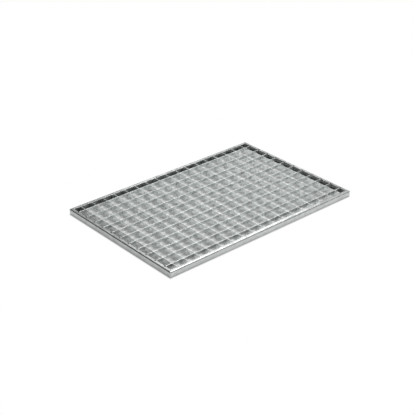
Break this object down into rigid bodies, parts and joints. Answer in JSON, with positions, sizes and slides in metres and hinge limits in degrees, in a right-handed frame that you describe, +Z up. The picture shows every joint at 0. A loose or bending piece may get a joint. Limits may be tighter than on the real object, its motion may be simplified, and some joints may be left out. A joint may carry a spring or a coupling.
{
  "type": "doormat grate",
  "caption": "Flat galvanised steel doormat grate: square-mesh press-locked grating held in a mitred U-channel edging, which lies over a dirt well at an entrance.",
  "frame": {"origin": "middle of the underside, on the surface that the grate lies on", "axes": "+X along the long sides, +Y from the front channel to the back channel, +Z up"},
  "size_m": [0.59, 0.39, 0.016],
  "materials": {
    "zinc_bars": "hot-dip galvanised, satin",
    "zinc_edging": "hot-dip galvanised, satin"
  },
  "bodies": {
    "root": {"grating_mesh": "zinc_bars", "front_channel": "zinc_edging", "back_channel": "zinc_edging", "left_channel": "zinc_edging", "right_channel": "zinc_edging"}
  },
  "joints": []
}
